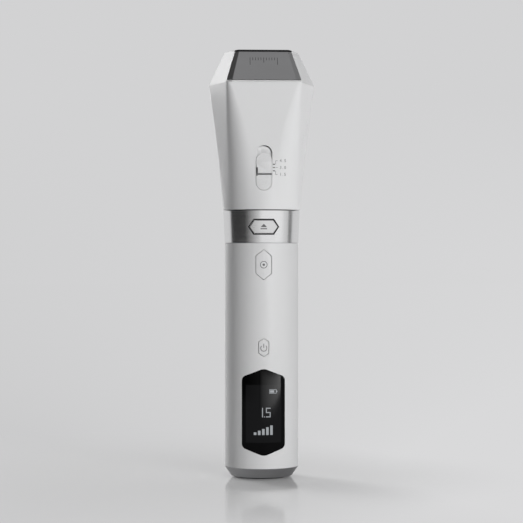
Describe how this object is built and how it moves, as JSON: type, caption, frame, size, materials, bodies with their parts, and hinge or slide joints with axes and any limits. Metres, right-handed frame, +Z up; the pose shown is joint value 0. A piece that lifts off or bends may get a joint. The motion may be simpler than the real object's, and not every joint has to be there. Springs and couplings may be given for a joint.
{
  "type": "focused ultrasound wand",
  "caption": "Hand-held focused ultrasound wand: round white handle with display and buttons, metal collar, pull-out flared cartridge with depth slider and window.",
  "frame": {"origin": "middle of the foot, on the surface that the wand stands on", "axes": "+Z up along the handle to the treatment window, -Y the front with display, buttons and slider, +X to the right seen from the front"},
  "size_m": [0.0498, 0.045, 0.2],
  "materials": {
    "white_shell": "satin white moulding",
    "white_key": "satin white key",
    "dark_foot": "dark grey, fine grain",
    "dark_rubber": "matt rubber",
    "black_glass": "black tinted display glass",
    "display": "display panel",
    "black_plastic": "black moulding",
    "grey_plastic": "grey glass-filled moulding",
    "board": "green solder mask",
    "cell_sleeve": "heat-shrink sleeve",
    "copper": "enamelled copper wire",
    "steel": "plain steel",
    "bare_metal": "fine satin, nearly polished",
    "gold_contact": "gold flash",
    "grey_metal": "grey anodised plate",
    "window_film": "milky acoustic film",
    "cup_metal": "turned aluminium",
    "bowl_ceramic": "silvered ceramic"
  },
  "bodies": {
    "handle": {"foot_pad": "dark_rubber", "base_cap": "dark_foot", "base_screws": "steel", "front_shell": "white_shell", "rear_shell": "white_shell", "display_lens": "black_glass", "display_panel": "display", "display_frame": "black_plastic", "trigger_switch": "black_plastic", "power_switch": "black_plastic", "main_board": "board", "board_screws": "steel", "board_chips": "black_plastic", "buzzer": "black_plastic", "chassis": "grey_plastic", "battery_cell": "cell_sleeve", "driver_board": "board", "driver_screws": "steel", "driver_transformer": "copper", "charge_board": "board", "usb_port": "steel", "collar": "bare_metal", "cartridge_socket": "grey_plastic", "socket_screws": "steel", "release_springs": "steel", "latch_clip": "steel", "contact_block": "black_plastic", "contact_pins": "gold_contact"},
    "trigger_key": {"trigger_button": "white_key", "trigger_plunger": "black_plastic"},
    "power_key": {"power_button": "white_key", "power_plunger": "black_plastic"},
    "release_key": {"release_button": "bare_metal"},
    "cartridge": {"cartridge_plug": "grey_plastic", "cartridge_base": "grey_plastic", "spigot_seal": "dark_rubber", "contact_pads": "gold_contact", "cartridge_shell": "white_shell", "nose_frame": "white_shell", "scale_plate": "grey_metal", "window_frame": "black_plastic", "acoustic_window": "window_film", "guide_posts": "steel"},
    "depth_stage": {"depth_slider": "white_key", "depth_frame": "grey_plastic", "scan_rods": "steel", "scan_motor": "steel"},
    "scan_stage": {"scan_carriage": "grey_plastic", "drive_nut": "gold_contact", "transducer_cup": "cup_metal", "transducer_bowl": "bowl_ceramic"},
    "screw": {"lead_screw": "steel"}
  },
  "joints": [
    {"name": "trigger_press", "type": "slide", "parent": "handle", "child": "trigger_key", "axis": [0, 1, 0], "range_m": [0, 0.0005], "stiffness_N_per_m": 900},
    {"name": "power_press", "type": "slide", "parent": "handle", "child": "power_key", "axis": [0, 1, 0], "range_m": [0, 0.0005], "stiffness_N_per_m": 900},
    {"name": "release_press", "type": "slide", "parent": "handle", "child": "release_key", "axis": [0, 1, 0], "range_m": [0, 0.0011], "stiffness_N_per_m": 600, "deforming": ["release_springs", "latch_clip"]},
    {"name": "cartridge_lift", "type": "slide", "parent": "handle", "child": "cartridge", "axis": [0, 0, 1], "range_m": [0, 0.03], "deforming": ["latch_clip", "contact_pins"]},
    {"name": "depth_select", "type": "slide", "parent": "cartridge", "child": "depth_stage", "axis": [0, 0, 1], "range_m": [0, 0.003]},
    {"name": "scan_travel", "type": "slide", "parent": "depth_stage", "child": "scan_stage", "axis": [1, 0, 0], "range_m": [-0.00625, 0.00625]},
    {"name": "screw_turn", "type": "hinge", "parent": "depth_stage", "child": "screw", "pos_m": [0, 0, 0.158], "axis": [1, 0, 0], "range_deg": [-1130, 1130]}
  ],
  "couplings": [
    {"joint": "screw_turn", "follows": "scan_travel", "rad_per_m": 3141.6}
  ]
}
